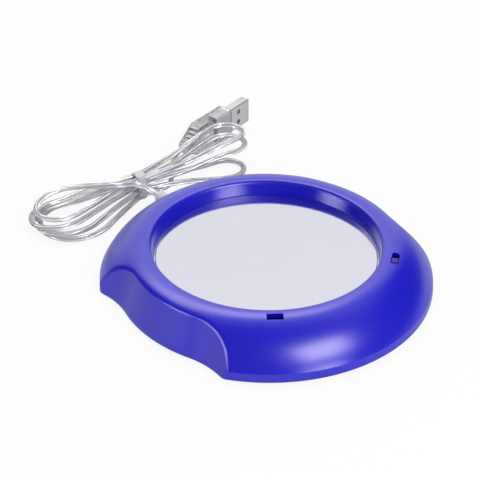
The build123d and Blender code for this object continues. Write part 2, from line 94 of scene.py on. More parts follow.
class Slot(Enum):
    """Material slots, each with the finish that its pieces take."""

    SHELL = "shell_blue"
    COVER = "cover_blue"
    FOOT = "foot_rubber"
    SCREW = "screw_steel"
    PLATE = "polished_plate"
    FILM = "heater_film"
    FELT = "pad_felt"
    CLAMP = "clamp_steel"
    BOARD = "board_green"
    BLACK = "switch_black"
    BRASS = "contact_brass"
    KNOB = "knob_grey"
    LAMP = "lamp_clear"
    WIRE = "wire_jacket"
    CORD = "clear_cord"
    TIE = "clear_tie"
    GRIP = "clear_grip"
    PLUG = "plug_metal"
    TONGUE = "tongue_white"


class Ray(Enum):
    """Kinds of ray that the floor and the world tell apart."""

    CAMERA = "Is Camera Ray"
    GLOSSY = "Is Glossy Ray"
    CLEAR = "Is Transmission Ray"


class Value:
    """A number that varies over a surface: wraps a socket, and operators on it add Math nodes."""

    def __init__(self, graph: "Graph", socket: bpy.types.NodeSocket) -> None:
        """Keeps the graph and the socket."""
        self.graph = graph
        self.socket = socket

    def math(self, operation: str, first: "Number", second: "Number") -> "Value":
        """Adds one Math node.

        Args:
            operation: the node's operation.
            first: its first input.
            second: its second input.

        Returns:
            The node's result.
        """
        return self.graph.value("ShaderNodeMath", {"operation": operation}, {0: first, 1: second})

    def __add__(self, other: "Number") -> "Value":
        """Sum."""
        return self.math("ADD", self, other)

    def __radd__(self, other: "Number") -> "Value":
        """Sum with a plain number first."""
        return self.math("ADD", other, self)

    def __sub__(self, other: "Number") -> "Value":
        """Difference."""
        return self.math("SUBTRACT", self, other)

    def __rsub__(self, other: "Number") -> "Value":
        """Difference with a plain number first."""
        return self.math("SUBTRACT", other, self)

    def __mul__(self, other: "Number") -> "Value":
        """Product."""
        return self.math("MULTIPLY", self, other)

    def __rmul__(self, other: "Number") -> "Value":
        """Product with a plain number first."""
        return self.math("MULTIPLY", other, self)

    def __truediv__(self, other: "Number") -> "Value":
        """Quotient."""
        return self.math("DIVIDE", self, other)

    def at_least(self, other: "Number") -> "Value":
        """The larger of two values."""
        return self.math("MAXIMUM", self, other)

    def sine(self) -> "Value":
        """Sine of the value in radians."""
        return self.math("SINE", self, 0.0)

    def root(self) -> "Value":
        """Square root of the value."""
        return self.math("SQRT", self, 0.0)

    def rise(self, low: float, high: float) -> "Value":
        """A smooth step from 0 to 1.

        Args:
            low: the value at which it is 0.
            high: the value at which it is 1, below low where the step falls.

        Returns:
            The step.
        """
        settings = {"interpolation_type": "SMOOTHSTEP"}
        inputs = {"Value": self, "From Min": low, "From Max": high}
        return self.graph.value("ShaderNodeMapRange", settings, inputs)


Number = Value | float


class Graph:
    """The node tree of one material or of the world."""

    def __init__(self, tree: bpy.types.NodeTree) -> None:
        """Empties the tree."""
        self.tree = tree
        tree.nodes.clear()

    def make(self, kind: str, settings: dict | None = None, inputs: dict | None = None) -> bpy.types.Node:
        """Adds one node.

        Args:
            kind: the node's type.
            settings: its properties, set first.
            inputs: values or links of its sockets, by name or number.

        Returns:
            The node.
        """
        node = self.tree.nodes.new(kind)
        for key, setting in (settings or {}).items():
            setattr(node, key, setting)
        for key, given in (inputs or {}).items():
            source = given.socket if isinstance(given, Value) else given
            if isinstance(source, bpy.types.NodeSocket):
                self.tree.links.new(source, node.inputs[key])
            else:
                node.inputs[key].default_value = source
        return node

    def value(self, kind: str, settings: dict, inputs: dict) -> Value:
        """Adds a node and wraps its first output."""
        return Value(self, self.make(kind, settings, inputs).outputs[0])

    def place(self) -> bpy.types.NodeSocket:
        """The point on the piece, in Object coordinates."""
        return self.make("ShaderNodeTexCoord").outputs["Object"]

    def along_strip(self) -> tuple[Value, Value]:
        """The piece's own UV map as two values."""
        split = self.make("ShaderNodeSeparateXYZ", None, {0: self.make("ShaderNodeTexCoord").outputs["UV"]})
        return Value(self, split.outputs[0]), Value(self, split.outputs[1])

    def axes(self) -> tuple[Value, Value, Value]:
        """The three Object coordinates as values."""
        split = self.make("ShaderNodeSeparateXYZ", None, {0: self.place()})
        return tuple(Value(self, socket) for socket in split.outputs)

    def radius(self) -> Value:
        """Distance from the centre line, in Object coordinates."""
        x, y, _ = self.axes()
        return (x * x + y * y).root()

    def rays(self) -> list[Value]:
        """Each kind of ray as a value, 1 where the ray is of that kind and 0 elsewhere."""
        path = self.make("ShaderNodeLightPath")
        return [Value(self, path.outputs[ray.value]) for ray in Ray]

    def noise(self, size: float, detail: float = 3.0, stretch: Point = (1.0, 1.0, 1.0)) -> Value:
        """Clouded noise from 0 to 1.

        Args:
            size: size of its clouds in metres.
            detail: number of finer layers.
            stretch: how much longer the clouds are along each axis.

        Returns:
            The noise.
        """
        scale = tuple(1.0 / (size * share) for share in stretch)
        spot = self.make("ShaderNodeVectorMath", {"operation": "MULTIPLY"}, {0: self.place(), 1: scale})
        inputs = {"Vector": spot.outputs[0], "Scale": 1.0, "Detail": detail, "Roughness": NOISE_ROUGHNESS}
        return self.value("ShaderNodeTexNoise", {}, inputs)

    def mix(self, factor: Number, first: "Paint", second: "Paint") -> bpy.types.NodeSocket:
        """A colour between two colours."""
        inputs = {0: factor, 6: opaque(first), 7: opaque(second)}
        return self.make("ShaderNodeMix", {"data_type": "RGBA"}, inputs).outputs[2]


Paint = Colour | bpy.types.NodeSocket


def opaque(paint: Paint) -> tuple[float, ...] | bpy.types.NodeSocket:
    """A plain colour with its fourth number, or a link as it is."""
    return paint if isinstance(paint, bpy.types.NodeSocket) else (*paint, 1.0)


def shade(colour: Colour, share: float) -> Colour:
    """A colour made lighter or darker by a share."""
    return tuple(min(1.0, part * share) for part in colour)


@dataclass(frozen=True)
class Finish:
    """A moulded or plated finish: faint clouding, uneven gloss and a fine grain.

    Colour and gloss follow noise of cloud_size, and the bump follows noise of grain_size.
    """

    name: str
    colour: Colour
    roughness: float
    metallic: float = 0.0
    clouding: float = 0.06
    cloud_size: float = 9 * MM
    gloss_spread: float = 0.06
    grain_size: float = 0.5 * MM
    grain_height: float = 0.003 * MM
    transmission: float = 0.0
    coat: float = 0.0
    coat_roughness: float = 0.28
    ior: float = 1.46
    specular: float = 0.5
    sheen_tint: Colour = (1.0, 1.0, 1.0)

    def paint(self, graph: Graph) -> bpy.types.NodeSocket:
        """Base colour, clouded."""
        cloud = graph.noise(self.cloud_size)
        return graph.mix(cloud, shade(self.colour, 1 - self.clouding), shade(self.colour, 1 + self.clouding))

    def gloss(self, graph: Graph) -> Value:
        """Roughness, a little uneven, in spots a third as large as the clouds."""
        return (graph.noise(self.cloud_size / 3) - 0.5) * self.gloss_spread + self.roughness

    def relief(self, graph: Graph) -> Value:
        """Height of the grain from 0 to 1."""
        return graph.noise(self.grain_size, GRAIN_DETAIL)

    @cache
    def material(self) -> bpy.types.Material:
        """Makes the material, once for each finish.

        Returns:
            The material.
        """
        made = bpy.data.materials.new(self.name)
        made.use_nodes = True
        graph = Graph(made.node_tree)
        bump = graph.make("ShaderNodeBump", None, {
            "Strength": 1.0, "Distance": self.grain_height, "Height": self.relief(graph)})
        surface = graph.make("ShaderNodeBsdfPrincipled", None, {
            "Base Color": self.paint(graph), "Roughness": self.gloss(graph), "Metallic": self.metallic,
            "IOR": self.ior, "Transmission Weight": self.transmission, "Coat Weight": self.coat,
            "Coat Roughness": self.coat_roughness, "Specular IOR Level": self.specular,
            "Specular Tint": (*self.sheen_tint, 1.0), "Normal": bump.outputs[0]})
        graph.make("ShaderNodeOutputMaterial", None, {"Surface": surface.outputs[0]})
        return made


@dataclass(frozen=True)
class TurnedMetal(Finish):
    """Metal with fine rings about the centre line, left by turning and polishing."""

    ring_size: float = 0.35 * MM

    def relief(self, graph: Graph) -> Value:
        """Noise along the radius alone."""
        inputs = {"W": graph.radius() / self.ring_size, "Scale": 1.0, "Detail": GRAIN_DETAIL}
        return graph.value("ShaderNodeTexNoise", {"noise_dimensions": "1D"}, inputs)


@dataclass(frozen=True)
class BrushedMetal(Finish):
    """Metal with fine straight lines in one direction."""

    line_stretch: float = 24.0

    def relief(self, graph: Graph) -> Value:
        """Noise drawn out along X."""
        return graph.noise(self.grain_size, GRAIN_DETAIL, (self.line_stretch, 1.0, 1.0))


@dataclass(frozen=True)
class TrackFilm(Finish):
    """Amber film with a metal track laid in rings."""

    track_colour: Colour = (0.62, 0.5, 0.36)
    track_pitch: float = 3.2 * MM
    track_edge: Pair = (-0.1, 0.1)

    def paint(self, graph: Graph) -> bpy.types.NodeSocket:
        """Rings of track on the clouded film, from a sine of the radius."""
        track = (graph.radius() * (2 * math.pi / self.track_pitch)).sine().rise(*self.track_edge)
        return graph.mix(track, super().paint(graph), self.track_colour)


@dataclass(frozen=True)
class Fibres(Finish):
    """Felt of short fibres."""

    fibre_stretch: float = 6.0

    def relief(self, graph: Graph) -> Value:
        """Half the sum of two noises drawn out across each other."""
        first = graph.noise(self.grain_size, stretch=(self.fibre_stretch, 1.0, 1.0))
        return (first + graph.noise(self.grain_size, stretch=(1.0, self.fibre_stretch, 1.0))) * 0.5


@dataclass(frozen=True)
class CircuitBoard(Finish):
    """Green lacquer over copper tracks that show a little lighter."""

    track_colour: Colour = (0.1, 0.36, 0.15)
    track_pitch: float = 1.1 * MM
    track_edge: Pair = (0.2, 0.4)
    patch_size: float = 6 * MM
    patch_edge: Pair = (0.46, 0.5)

    def paint(self, graph: Graph) -> bpy.types.NodeSocket:
        """Rings of track, from a sine of the radius, in patches of noise.

        Args:
            graph: the material's nodes.

        Returns:
            The colour.
        """
        rings = (graph.radius() * (2 * math.pi / self.track_pitch)).sine().rise(*self.track_edge)
        patches = graph.noise(self.patch_size, 0.0).rise(*self.patch_edge)
        return graph.mix(rings * patches, super().paint(graph), self.track_colour)


@dataclass(frozen=True)
class LaidWire(Finish):
    """Bare conductor laid from thin wires in a long twist along the strand."""

    turns: float = 120.0
    wires: int = 6

    def relief(self, graph: Graph) -> Value:
        """A sine of the place along the strand and round it."""
        along, around = graph.along_strip()
        return (along * (2 * math.pi * self.turns) + around * (2 * math.pi * self.wires)).sine() * 0.5 + 0.5


FINISHES: dict[Slot, Finish] = {
    Slot.SHELL: Finish("royal_shell", (0.002, 0.002, 0.55), 0.28, clouding=0.03, gloss_spread=0.03,
                       grain_height=0.0003 * MM, coat=0.4, specular=1.0, sheen_tint=(1.0, 0.9, 1.0)),
    Slot.COVER: Finish("grained_cover", (0.005, 0.004, 0.32), 0.55, grain_size=0.7 * MM,
                       grain_height=0.05 * MM),
    Slot.FOOT: Finish("black_rubber", (0.02, 0.02, 0.022), 0.75, grain_size=0.3 * MM,
                      grain_height=0.02 * MM),
    Slot.SCREW: BrushedMetal("zinc_steel", (0.62, 0.61, 0.6), 0.32, 1.0, grain_size=0.08 * MM),
    Slot.PLATE: TurnedMetal("mirror_plate", (0.8, 0.8, 0.89), 0.1, 1.0, clouding=0.01, gloss_spread=0.03,
                            cloud_size=24 * MM, grain_height=0.0003 * MM),
    Slot.FILM: TrackFilm("amber_film", (0.45, 0.2, 0.03), 0.35, cloud_size=4 * MM),
    Slot.FELT: Fibres("pale_felt", (0.72, 0.7, 0.64), 0.95, grain_height=0.12 * MM),
    Slot.CLAMP: BrushedMetal("sheet_steel", (0.6, 0.6, 0.61), 0.36, 1.0, grain_size=0.12 * MM),
    Slot.BOARD: CircuitBoard("green_board", (0.02, 0.15, 0.05), 0.35),
    Slot.BLACK: Finish("black_moulding", (0.015, 0.015, 0.016), 0.45),
    Slot.BRASS: BrushedMetal("plated_contact", (0.8, 0.74, 0.62), 0.3, 1.0, grain_size=0.1 * MM),
    Slot.KNOB: Finish("grey_knob", (0.07, 0.055, 0.36), 0.55, cloud_size=2 * MM, grain_size=0.2 * MM,
                      specular=0.12),
    Slot.LAMP: Finish("tinted_lamp", (0.3, 0.28, 0.55), 0.3),
    Slot.WIRE: Finish("soft_wire_jacket", (0.62, 0.6, 0.58), 0.5),
    Slot.CORD: Finish("clear_jacket", (0.93, 0.93, 0.95), 0.12, clouding=0.02, transmission=0.9,
                      ior=1.42),
    Slot.TIE: Finish("clear_band", (0.9, 0.9, 0.93), 0.2, clouding=0.02, transmission=0.35,
                     ior=1.45),
    Slot.GRIP: Finish("moulded_grip", (0.9, 0.9, 0.93), 0.06, clouding=0.02, transmission=0.85, coat=0.3,
                      ior=1.45),
    Slot.PLUG: BrushedMetal("nickel_sheet", (0.8, 0.79, 0.82), 0.3, 1.0, grain_size=0.12 * MM),
    Slot.TONGUE: Finish("white_tongue", (0.8, 0.8, 0.78), 0.4),
}
CONDUCTOR = LaidWire("tinned_conductor", (0.95, 0.95, 0.97), 0.22, 0.85, grain_height=0.012 * MM)
GLAND = Finish("frosted_gland", (0.7, 0.7, 0.74), 0.45, clouding=0.03)


def quads(rows: int, columns: int, along: bool) -> np.ndarray:
    """Corner numbers of a grid's quads; the last column joins the first.

    Args:
        rows: number of rows.
        columns: number of points in a row.
        along: whether the last row joins the first too.

    Returns:
        One line of four corners for each quad.
    """
    i = np.arange(rows if along else rows - 1)[:, None]
    j = np.arange(columns)[None, :]
    i_next, j_next = (i + 1) % rows, (j + 1) % columns
    corners = [i * columns + j, i * columns + j_next, i_next * columns + j_next, i_next * columns + j]
    return np.stack(np.broadcast_arrays(*corners), -1).reshape(-1, 4)


def grid_mesh(name: str, grid: np.ndarray, along: bool = False) -> bpy.types.Mesh:
    """A closed mesh from a grid of points in millimetres, whose rows are rings.

    Where the last row doesn't join the first, both get a flat cap. Faces are turned outwards by the sign
    of the enclosed volume. The UV map runs along the rows and round them.

    Args:
        name: the mesh's name.
        grid: points as rows, columns and three coordinates.
        along: whether the last row joins the first.

    Returns:
        The mesh, smooth but for its sharp edges.
    """
    rows, columns, _ = grid.shape
    faces = quads(rows, columns, along)
    row = list(range(columns))
    caps = [] if along else [row[::-1], [(rows - 1) * columns + j for j in row]]
    mesh = bpy.data.meshes.new(name)
    mesh.from_pydata((grid.reshape(-1, 3) * MM).tolist(), [], faces.tolist() + caps)
    i, j = np.divmod(faces[:, 0], columns)
    corners = np.stack([np.stack([i + di, j + dj], -1) for di, dj in ((0, 0), (0, 1), (1, 1), (1, 0))], 1)
    strip = np.zeros((len(mesh.loops), 2))
    strip[: 4 * len(faces)] = corners.reshape(-1, 2) / (rows, columns)
    mesh.uv_layers.new(name="strip").data.foreach_set("uv", strip.ravel())
    finish_mesh(mesh)
    return mesh


def finish_mesh(mesh: bpy.types.Mesh) -> None:
    """Turns a closed mesh's faces outwards and shades it smooth up to SHARP_ANGLE.

    Args:
        mesh: the mesh.
    """
    solid = bmesh.new()
    solid.from_mesh(mesh)
    inside_out = solid.calc_volume(signed=True) < 0
    solid.free()
    if inside_out:
        mesh.flip_normals()
    mesh.shade_smooth()
    mesh.set_sharp_from_angle(angle=math.radians(SHARP_ANGLE))


def link(name: str, data: bpy.types.ID) -> bpy.types.Object:
    """Puts a mesh, curve, lamp or camera into the scene.

    Args:
        name: the object's name.
        data: what it shows.

    Returns:
        The object.
    """
    linked = bpy.data.objects.new(name, data)
    bpy.context.scene.collection.objects.link(linked)
    return linked


def add_piece(name: str, mesh: bpy.types.Mesh, slot: Slot, finish: Finish | None = None) -> bpy.types.Object:
    """Puts a mesh into the scene as a piece of the housing.

    Args:
        name: the piece's name.
        mesh: its mesh.
        slot: the slot that it takes its finish from.
        finish: a finish of its own, if it has one.

    Returns:
        The piece.
    """
    piece = link(name, mesh)
    mesh.materials.clear()
    mesh.materials.append((finish or FINISHES[slot]).material())
    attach(piece, BODY)
    LOG.info("%s: %d faces", name, len(mesh.polygons))
    return piece


def cut(mesh: bpy.types.Mesh, cutters: list[bpy.types.Mesh]) -> bpy.types.Mesh:
    """Takes closed meshes out of a mesh.

    Args:
        mesh: the mesh that is cut.
        cutters: closed meshes.

    Returns:
        A new mesh with the openings.
    """
    blank = link("blank", mesh)
    tools = [link("cutter", cutter) for cutter in cutters]
    for tool in tools:
        modifier = blank.modifiers.new("opening", "BOOLEAN")
        modifier.operation = "DIFFERENCE"
        modifier.solver = "EXACT"
        modifier.object = tool
    result = bpy.data.meshes.new_from_object(blank.evaluated_get(bpy.context.evaluated_depsgraph_get()))
    for piece in (blank, *tools):
        bpy.data.objects.remove(piece)
    finish_mesh(result)
    return result


def whole_turn(count: int) -> np.ndarray:
    """Angles in radians, spread evenly over a full turn."""
    return np.linspace(0, 2 * np.pi, count, endpoint=False)


def circle(turn: np.ndarray) -> np.ndarray:
    """Points of the unit circle at angles in radians."""
    return np.stack([np.cos(turn), np.sin(turn)], -1)


def revolved(profile: np.ndarray, columns: int) -> np.ndarray:
    """A grid from a half section turned about Z: each row is one radius and height at every angle.

    Args:
        profile: radii and heights.
        columns: number of angles.

    Returns:
        Points as rows, columns and three coordinates.
    """
    flat = profile[:, None, :1] * circle(whole_turn(columns))[None]
    return np.concatenate([flat, np.broadcast_to(profile[:, None, 1:], (*flat.shape[:2], 1))], -1)


def rounded_outline(width: float, height: float, radius: float, steps: int = 6) -> np.ndarray:
    """A rectangle with round corners: quarter circles about four corner centres.

    Args:
        width: size along the first axis.
        height: size along the second axis.
        radius: radius of the corners.
        steps: points on each corner.

    Returns:
        Points in order round the outline.
    """
    quarter = circle(np.radians(np.linspace(0, 90, steps))) * radius
    centre = np.array([width / 2 - radius, height / 2 - radius])
    signs = ((1, 1), (-1, 1), (-1, -1), (1, -1))
    arcs = [(quarter[:: sx * sy] + centre) * (sx, sy) for sx, sy in signs]
    return np.concatenate(arcs)


def prism(outline: np.ndarray, seat: Pair, low: float, high: float) -> bpy.types.Mesh:
    """An upright prism on the ring, for an opening.

    Args:
        outline: points across the ring and along it.
        seat: the ring radius and the angle in degrees of its middle.
        low: its lower height.
        high: its upper height.

    Returns:
        A closed mesh.
    """
    radius, angle = seat[0], math.radians(seat[1])
    across, along = outline[:, 0] + radius, outline[:, 1]
    x = across * math.cos(angle) - along * math.sin(angle)
    y = across * math.sin(angle) + along * math.cos(angle)
    rows = [np.stack([x, y, np.full_like(x, level)], -1) for level in (low, high)]
    return grid_mesh("prism", np.stack(rows))


@dataclass
class CoverScrew:
    """Screw of the base cover, head down, with a cross recess."""

    seat_z: float = 2.2
    length: float = 7.0
    head_height: float = 1.0
    head_crown: float = 0.02
    head_edge: tuple[Pair, ...] = ((2.12, -0.85), (2.2, -0.7), (2.2, 0.0))
    face_radii: tuple[float, ...] = (0.05, 0.15, 0.25, 0.35, 0.5, 0.7, 0.9, 1.1, 1.3, 1.5, 1.75, 1.95)
    shank_radius: float = 1.1
    tip_radius: float = 0.4
    tip_length: float = 0.8
    cross_half: float = 0.34
    cross_slope: float = 0.12
    cross_reach: float = 1.35
    cross_end: float = 0.15
    cross_depth: float = 0.55
    columns: int = 64

    def grid(self) -> np.ndarray:
        """Points of the screw: head from its cross recess outwards, then the shank up to its tip.

        Rows are circles. The head's face is a shallow parabola, deeper inside the cross, whose sides
        slope. The head's edge has radii and heights over the seat.

        Returns:
            Points as rows, columns and three coordinates.
        """
        face = np.array(self.face_radii)[:, None]
        turn = whole_turn(self.columns)[None]
        x, y = face * np.cos(turn), face * np.sin(turn)
        across = np.clip((self.cross_half - np.minimum(np.abs(x), np.abs(y))) / self.cross_slope, 0, 1)
        along = np.clip((self.cross_reach - face) / self.cross_end, 0, 1)
        level = self.seat_z - self.head_height + self.head_crown * face**2
        head = np.stack([x, y, level + self.cross_depth * across * along], -1)
        tip = self.length - self.tip_length
        shank = [(self.shank_radius, 0.0), (self.shank_radius, tip), (self.tip_radius, self.length)]
        rest = np.array([*self.head_edge, *shank]) + (0.0, self.seat_z)
        return np.concatenate([head, revolved(rest, self.columns)])


@dataclass
class Housing:
    """Domed ring and cover screws; base cover and feet keep their CAD shape."""

    well_radius: float = 43.5
    well_flare: float = 1.05
    well_wall: float = 1.5
    rim_round: float = 1.8
    crown_radius: float = 47.0
    crown_round: float = 14.0
    crown_turn: float = 30.5
    crown_z: float = 18.2
    lip_radius: float = 64.9
    lip_z: float = 4.8
    body_radius: float = 65.2
    base_z: float = 1.2
    wall: float = 1.9
    foot_round: float = 0.4
    foot_turns: tuple[float, ...] = (30.0, 60.0, 90.0)
    scoop_core: float = 59.0
    scoop_half_angle: float = 18.0
    scoop_blend: float = 33.0
    scoop_lean: float = 20.0
    edge_softness: float = 1.3
    slot_seat: Pair = (49.9, 302.7)
    slot_size: Pair = (3.0, 7.5)
    window_seat: Pair = (49.0, 229.5)
    window_size: Pair = (3.0, 6.0)
    window_round: float = 0.35
    opening_low: float = 14.75
    opening_over: float = 2.0
    gland_z: float = 9.0
    gland_radius: float = 2.65
    gland_reach: Pair = (52.0, 70.0)
    screw: CoverScrew = field(default_factory=CoverScrew)
    screw_circle: float = 57.5
    screw_angles: tuple[float, ...] = (58.0, 122.0, 216.0, 324.0)
    coarse_step: float = 1.0
    fine_step: float = 0.4
    fine_zone: Pair = (12.0, 42.0)
    section_samples: tuple[int, int, int] = (160, 300, 60)
    rim_rows: tuple[int, int, int] = (6, 10, 3)
    dome_rows: int = 30
    flank_rows: int = 12
    edge_rows: tuple[float, ...] = (1.5, 1.15, 0.85, 0.6, 0.4, 0.22, 0.08)
    edge_margin: float = 2.2
    inner_steps: int = 20
    wall_steps: int = 4
    arch_points: int = 17
    window_points: int = 4
    bore_sides: int = 32

    def columns(self) -> np.ndarray:
        """Angles of the ring's columns, closer where a scoop's wall swings out to the dome.

        Returns:
            Angles in degrees.
        """
        near, far = self.fine_zone
        spans = ((-90.0, -far, self.coarse_step), (-far, -near, self.fine_step),
                 (-near, near, self.coarse_step), (near, far, self.fine_step), (far, 90.0, self.coarse_step))
        side = np.concatenate([np.arange(*span) for span in spans])
        return np.concatenate([side, side + 180])

    def scoop_radius(self, angle: np.ndarray, height: np.ndarray) -> np.ndarray:
        """Radius of the nearer scoop's wall.

        The wall is an arc about the centre line within the half angle and a circle bulging inwards
        beyond it. Both lean inwards towards the top. Past the circle's reach there is no wall.

        Args:
            angle: angles in degrees.
            height: heights.

        Returns:
            The radius, very large where there is no scoop.
        """
        offset = (height - self.base_z) * math.tan(math.radians(self.scoop_lean))
        from_axis = np.abs((angle + 90) % 180 - 90)
        swing = np.radians(np.maximum(from_axis - self.scoop_half_angle, 0))
        centre = self.scoop_core + self.scoop_blend
        root = (self.scoop_blend + offset) ** 2 - (centre * np.sin(swing)) ** 2
        beyond = centre * np.cos(swing) - np.sqrt(np.maximum(root, 0))
        radius = np.where(from_axis <= self.scoop_half_angle, self.scoop_core - offset, beyond)
        return np.where(root > 0, radius, NO_WALL)

    def dome_line(self) -> np.ndarray:
        """The dome's section: an arc off the crown, a second arc tangent to it, and the lip's line.

        Returns:
            Radii and heights from the crown down to the base.
        """
        crown_count, flank_count, lip_count = self.section_samples
        turn = math.radians(self.crown_turn)
        sweep = np.linspace(0, turn, crown_count)
        crown = np.stack([self.crown_radius + self.crown_round * np.sin(sweep),
                          self.crown_z - self.crown_round * (1 - np.cos(sweep))], -1)
        joint, inwards = crown[-1], np.array([-math.sin(turn), -math.cos(turn)])
        chord = np.array([self.lip_radius, self.lip_z]) - joint
        radius = chord @ chord / (2 * chord @ inwards)
        bend = 2 * math.asin(math.hypot(*chord) / (2 * radius))
        sweep = turn + np.linspace(0, bend, flank_count)[1:]
        flank = joint + radius * inwards + radius * np.stack([np.sin(sweep), np.cos(sweep)], -1)
        lip = np.linspace((self.lip_radius, self.lip_z), (self.body_radius, self.base_z), lip_count)[1:]
        return np.concatenate([crown, flank, lip])

    def rim_line(self) -> np.ndarray:
        """The well's wall from its foot, the round at its top, tangent to both, and the flat crown.

        Returns:
            Radii and heights from the wall's foot to the crown.
        """
        wall_count, bend_count, flat_count = self.rim_rows
        foot = np.array([self.well_radius, LEDGE_Z])
        corner = np.array([self.well_radius + self.well_flare, self.crown_z])
        down = (foot - corner) / np.hypot(*(foot - corner))
        reach = self.rim_round / math.tan(math.acos(down[0]) / 2)
        start = math.pi - math.acos(-down[1])
        centre = np.array([corner[0] + reach, self.crown_z - self.rim_round])
        bend = centre + self.rim_round * circle(np.linspace(start, math.pi / 2, bend_count))
        up = np.linspace(foot, bend[0], wall_count)[:-1]
        flat = np.linspace(bend[-1], (self.crown_radius, self.crown_z), flat_count)[1:-1]
        return np.concatenate([up, bend, flat])

    def soft_least(self, first: np.ndarray, second: np.ndarray) -> np.ndarray:
        """The smaller of two radii, less a quarter of edge_softness where they are equal."""
        near = np.maximum(self.edge_softness - np.abs(first - second), 0) / self.edge_softness
        return np.minimum(first, second) - near**2 * self.edge_softness / 4

    def scoop_edge(self, angle: np.ndarray, line: np.ndarray, run: np.ndarray) -> np.ndarray:
        """Where the dome's section meets the scoop's wall.

        It is the first crossing, worked out in proportion between two samples of the section, or the lip
        where there is no crossing.

        Args:
            angle: column angles in degrees, as one column.
            line: the dome's section.
            run: length along the section at each of its points.

        Returns:
            Length along the section, one for each angle.
        """
        lip = np.argmin(np.abs(line[:, 1] - self.lip_z))
        dome = line[None, : lip + 1]
        over = dome[..., 0] > self.scoop_radius(angle, dome[..., 1])
        crosses = over.any(1)
        after = np.where(crosses, over.argmax(1), lip)
        before = np.maximum(after - 1, 0)
        gap, gap_after = (line[at, 0] - self.scoop_radius(angle[:, 0], line[at, 1]) for at in (before, after))
        share = np.where(crosses, gap / np.minimum(gap - gap_after, -TINY), 1.0)
        return run[before] * (1 - share) + run[after] * share

    def outer_rows(self, angle: np.ndarray, line: np.ndarray) -> tuple[np.ndarray, np.ndarray]:
        """Radii and heights of the outer face from the crown down to the foot's round.

        Upper rows follow the dome's section down to the scoop's edge, or to the lip where there is no
        scoop. Lower rows go on straight down from there. Rows are close together near the edge. At every
        point the radius is the softened least of the dome's and the scoop wall's.

        Args:
            angle: column angles in degrees, as one column.
            line: the dome's section.

        Returns:
            Radii and heights, a row for each angle.
        """
        run = np.concatenate([[0], np.cumsum(np.hypot(*np.diff(line, axis=0).T))])
        edge = self.scoop_edge(angle, line, run)[:, None]
        close = np.array(self.edge_rows)
        even = np.linspace(0, 1, self.dome_rows)[None, :-1]
        upper = np.concatenate([(edge - close[0]) * even, edge - close[None]], 1)
        below = np.concatenate([[0.0], close[::-1], [self.edge_margin]])[None]
        near_z = np.interp(edge, run, line[:, 1]) - below
        foot_z = self.base_z + self.foot_round
        even = np.linspace(0, 1, self.flank_rows)[None, 1:]
        lower = np.concatenate([near_z, near_z[:, -1:] + (foot_z - near_z[:, -1:]) * even], 1)
        height = np.concatenate([np.interp(upper, run, line[:, 1]), lower], 1)
        low_dome = np.interp(-lower, -line[:, 1], line[:, 0])
        dome = np.concatenate([np.interp(upper, run, line[:, 0]), low_dome], 1)
        radius = self.soft_least(dome, self.scoop_radius(angle, height))
        bend = np.radians(self.foot_turns)[None]
        round_r = radius[:, -1:] - self.foot_round * (1 - np.cos(bend))
        round_z = np.broadcast_to(foot_z - self.foot_round * np.sin(bend), round_r.shape)
        return np.concatenate([radius, round_r], 1), np.concatenate([height, round_z], 1)

    def inner_rows(self, angle: np.ndarray, line: np.ndarray) -> tuple[np.ndarray, np.ndarray]:
        """Radii and heights of the inner face from the foot up to the crown and down the well's wall.

        It is the dome's section moved in by the wall, or the scoop's wall moved in where that is nearer.

        Args:
            angle: column angles in degrees, as one column.
            line: the dome's section.

        Returns:
            Radii and heights, a row for each angle.
        """
        way = np.gradient(line, axis=0)
        way /= np.hypot(*way.T)[:, None]
        inset = line - self.wall * np.stack([-way[:, 1], way[:, 0]], -1)
        picks = inset[np.linspace(len(inset) - 1, 0, self.inner_steps).astype(int)]
        height = np.broadcast_to(np.maximum(picks[None, :, 1], self.base_z), (len(angle), len(picks)))
        lean = math.cos(math.radians(self.scoop_lean))
        radius = np.minimum(picks[None, :, 0], self.scoop_radius(angle, height) - self.wall / lean)
        foot = self.well_radius + self.well_wall
        top = (foot + self.well_flare, self.crown_z - self.wall)
        wall_line = np.linspace(top, (foot, LEDGE_Z), self.wall_steps)
        wall_line = np.broadcast_to(wall_line[None], (len(angle), *wall_line.shape))
        return np.concatenate([radius, wall_line[..., 0]], 1), np.concatenate([height, wall_line[..., 1]], 1)

    def shell_grid(self) -> np.ndarray:
        """Points of the domed ring: one closed section at each angle, made of rim, outer and inner rows.

        Returns:
            Points as columns of the ring, rows of the section and three coordinates.
        """
        angle = self.columns()[:, None]
        line, rim = self.dome_line(), self.rim_line()
        rim = np.broadcast_to(rim[None], (len(angle), *rim.shape))
        rows = ((rim[..., 0], rim[..., 1]), self.outer_rows(angle, line), self.inner_rows(angle, line))
        radius, height = (np.concatenate(part, 1) for part in zip(*rows))
        turn = np.radians(angle)
        return np.stack([radius * np.cos(turn), radius * np.sin(turn), height], -1)

    def openings(self) -> list[bpy.types.Mesh]:
        """Cutters for the switch's slot, the lamp's window and the lead's hole.

        The slot is a rectangle with a half circle at its far end, the window a rounded rectangle and the
        hole a level cylinder.

        Returns:
            Closed meshes.
        """
        width, length = self.slot_size
        turn = np.radians(np.linspace(0, 180, self.arch_points))
        arch = circle(turn) * width / 2 + (0, length / 2 - width / 2)
        slot = np.concatenate([arch, [(-width / 2, -length / 2), (width / 2, -length / 2)]])
        window = rounded_outline(*self.window_size, self.window_round, self.window_points)
        ring = whole_turn(self.bore_sides)
        x, z = np.cos(ring) * self.gland_radius, self.gland_z + np.sin(ring) * self.gland_radius
        bore = [np.stack([x, np.full_like(ring, y), z], -1) for y in self.gland_reach]
        high = self.crown_z + self.opening_over
        return [prism(slot, self.slot_seat, self.opening_low, high),
                prism(window, self.window_seat, self.opening_low, high), grid_mesh("bore", np.stack(bore))]

